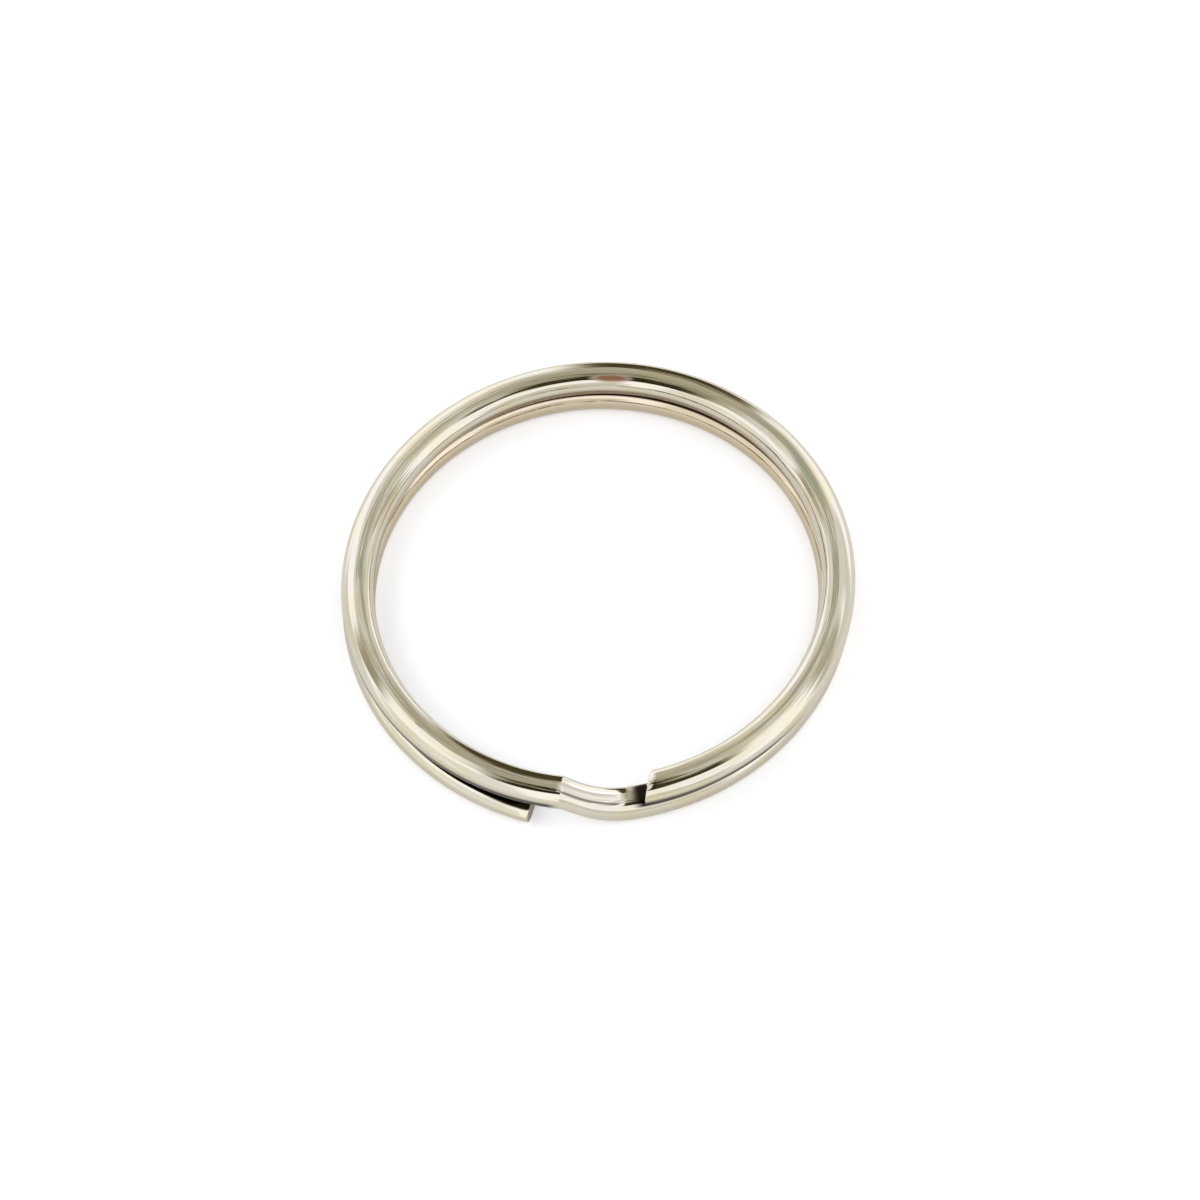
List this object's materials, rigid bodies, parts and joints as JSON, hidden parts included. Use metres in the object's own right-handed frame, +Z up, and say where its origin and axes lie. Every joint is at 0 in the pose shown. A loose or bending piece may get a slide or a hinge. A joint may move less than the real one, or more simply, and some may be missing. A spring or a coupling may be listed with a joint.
{
  "type": "split ring",
  "caption": "Two-turn split ring of flattened spring wire with a stepped crossover and sprung free end, for holding keys, fobs and small tags on a bench or desk.",
  "frame": {"origin": "middle of the ring on the plane of the lower turn's flat, which is the surface it lies on", "axes": "+Z up through the eye; -Y towards the crossover; +X to the right of it, towards the upper free end"},
  "size_m": [0.0252, 0.025, 0.0026],
  "materials": {
    "plated_wire": "bright nickel plating over hard steel wire, warm in tone, with fine drawing lines along the wire"
  },
  "bodies": {
    "root": {"split_ring": "plated_wire"}
  },
  "joints": []
}
